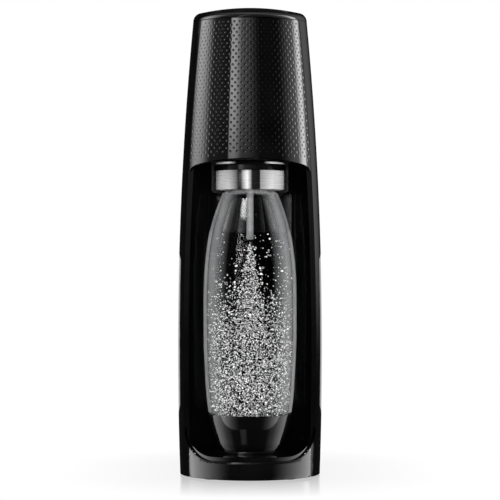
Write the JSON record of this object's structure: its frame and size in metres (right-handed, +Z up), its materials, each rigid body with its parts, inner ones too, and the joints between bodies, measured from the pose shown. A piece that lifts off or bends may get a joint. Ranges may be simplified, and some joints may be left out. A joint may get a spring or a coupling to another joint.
{
  "type": "soda carbonator",
  "caption": "Upright home soda maker: tall black casing with a round front, open bottle bay, dimpled head, press-down top, clear bottle with water, steel collar and gas cylinder inside.",
  "frame": {"origin": "on the floor, in the middle of the casing's outline", "axes": "+Z up, the bottle bay faces -Y, +X to the right as seen from the front"},
  "size_m": [0.1308, 0.185, 0.425],
  "materials": {
    "casing_black": "gloss",
    "inner_black": "satin",
    "collar_steel": "satin",
    "spring_steel": "gloss",
    "brass": "satin",
    "cylinder_paint": "satin",
    "block_alloy": "satin",
    "rubber": "matte",
    "silicone": "satin",
    "smoke_clear": "gloss",
    "nozzle_grey": "satin",
    "bottle_clear": "gloss",
    "water": "gloss"
  },
  "bodies": {
    "machine": {"base_plate": "inner_black", "rubber_feet": "rubber", "base_screws": "spring_steel", "front_fascia": "casing_black", "bay_liner": "casing_black", "bottle_rest": "casing_black", "left_side_panel": "casing_black", "right_side_panel": "casing_black", "rear_upper_panel": "casing_black", "latch_spring": "spring_steel", "head_front_cover": "casing_black", "top_cap": "casing_black", "button_hinge_pin": "spring_steel", "button_spring": "spring_steel", "bay_ceiling": "inner_black", "head_frame": "inner_black", "lever_pin": "spring_steel", "valve_block": "block_alloy", "valve_block_screws": "spring_steel", "plunger_spring": "spring_steel", "relief_spring": "spring_steel", "relief_cap": "brass", "cylinder_pad": "rubber", "cylinder_cradle": "inner_black", "gas_tube": "silicone", "pivot_elbow": "brass", "holder_pivot_pins": "spring_steel"},
    "button": {"carbonation_button": "casing_black"},
    "lever": {"actuator_lever": "inner_black"},
    "plunger": {"valve_plunger": "brass"},
    "latch": {"latch_button": "casing_black"},
    "relief": {"relief_poppet": "brass"},
    "rear_cover": {"rear_cover": "casing_black"},
    "cylinder": {"co2_cylinder": "cylinder_paint", "cylinder_valve": "brass", "cylinder_valve_pin": "brass", "cylinder_gasket": "rubber"},
    "carrier": {"bottle_holder": "smoke_clear", "holder_yoke": "inner_black", "nozzle_shroud": "casing_black", "collar_ring": "collar_steel", "nozzle_block": "inner_black", "nozzle_tube": "nozzle_grey", "bottle_gasket": "rubber", "bottle": "bottle_clear", "bottle_base_cup": "casing_black", "water": "water"},
    "left_clamp": {"left_clamp": "inner_black"},
    "right_clamp": {"right_clamp": "inner_black"}
  },
  "joints": [
    {"name": "carbonation_press", "type": "hinge", "parent": "machine", "child": "button", "pos_m": [0, 0.036, 0.41], "axis": [1, 0, 0], "range_deg": [0, 5], "stiffness_Nm_per_rad": 10, "springref_deg": -2.86, "deforming": ["button_spring"]},
    {"name": "lever_swing", "type": "hinge", "parent": "machine", "child": "lever", "pos_m": [0, 0.068, 0.4025], "axis": [1, 0, 0], "range_deg": [0, 3.5]},
    {"name": "plunger_stroke", "type": "slide", "parent": "machine", "child": "plunger", "axis": [0, 0, -1], "range_m": [0, 0.0009], "deforming": ["plunger_spring"]},
    {"name": "bottle_tilt", "type": "hinge", "parent": "machine", "child": "carrier", "pos_m": [0, 0.002, 0.292], "axis": [-1, 0, 0], "range_deg": [0, 18]},
    {"name": "left_clamp_open", "type": "slide", "parent": "carrier", "child": "left_clamp", "axis": [-1, 0, 0], "range_m": [0, 0.0027]},
    {"name": "right_clamp_open", "type": "slide", "parent": "carrier", "child": "right_clamp", "axis": [1, 0, 0], "range_m": [0, 0.0027]},
    {"name": "rear_cover_tilt", "type": "hinge", "parent": "machine", "child": "rear_cover", "pos_m": [0, 0.08972, 0.0092], "axis": [-1, 0, 0], "range_deg": [0, 45]},
    {"name": "latch_press", "type": "slide", "parent": "machine", "child": "latch", "axis": [0, -1, 0], "range_m": [0, 0.003], "stiffness_N_per_m": 700, "springref_m": -0.002, "deforming": ["latch_spring"]},
    {"name": "cylinder_unscrew", "type": "hinge", "parent": "machine", "child": "cylinder", "pos_m": [0, 0.0536, 0.2], "axis": [0, 0, -1], "range_deg": [0, 360]},
    {"name": "relief_lift", "type": "slide", "parent": "machine", "child": "relief", "axis": [1, 0, 0], "range_m": [0, 0.0025], "stiffness_N_per_m": 800, "springref_m": -0.003, "deforming": ["relief_spring"]}
  ],
  "couplings": [
    {"joint": "lever_swing", "follows": "carbonation_press", "ratio": 0.67347},
    {"joint": "plunger_stroke", "follows": "carbonation_press", "m_per_rad": 0.009698},
    {"joint": "left_clamp_open", "follows": "bottle_tilt", "m_per_rad": 0.008276},
    {"joint": "right_clamp_open", "follows": "bottle_tilt", "m_per_rad": 0.008276}
  ]
}
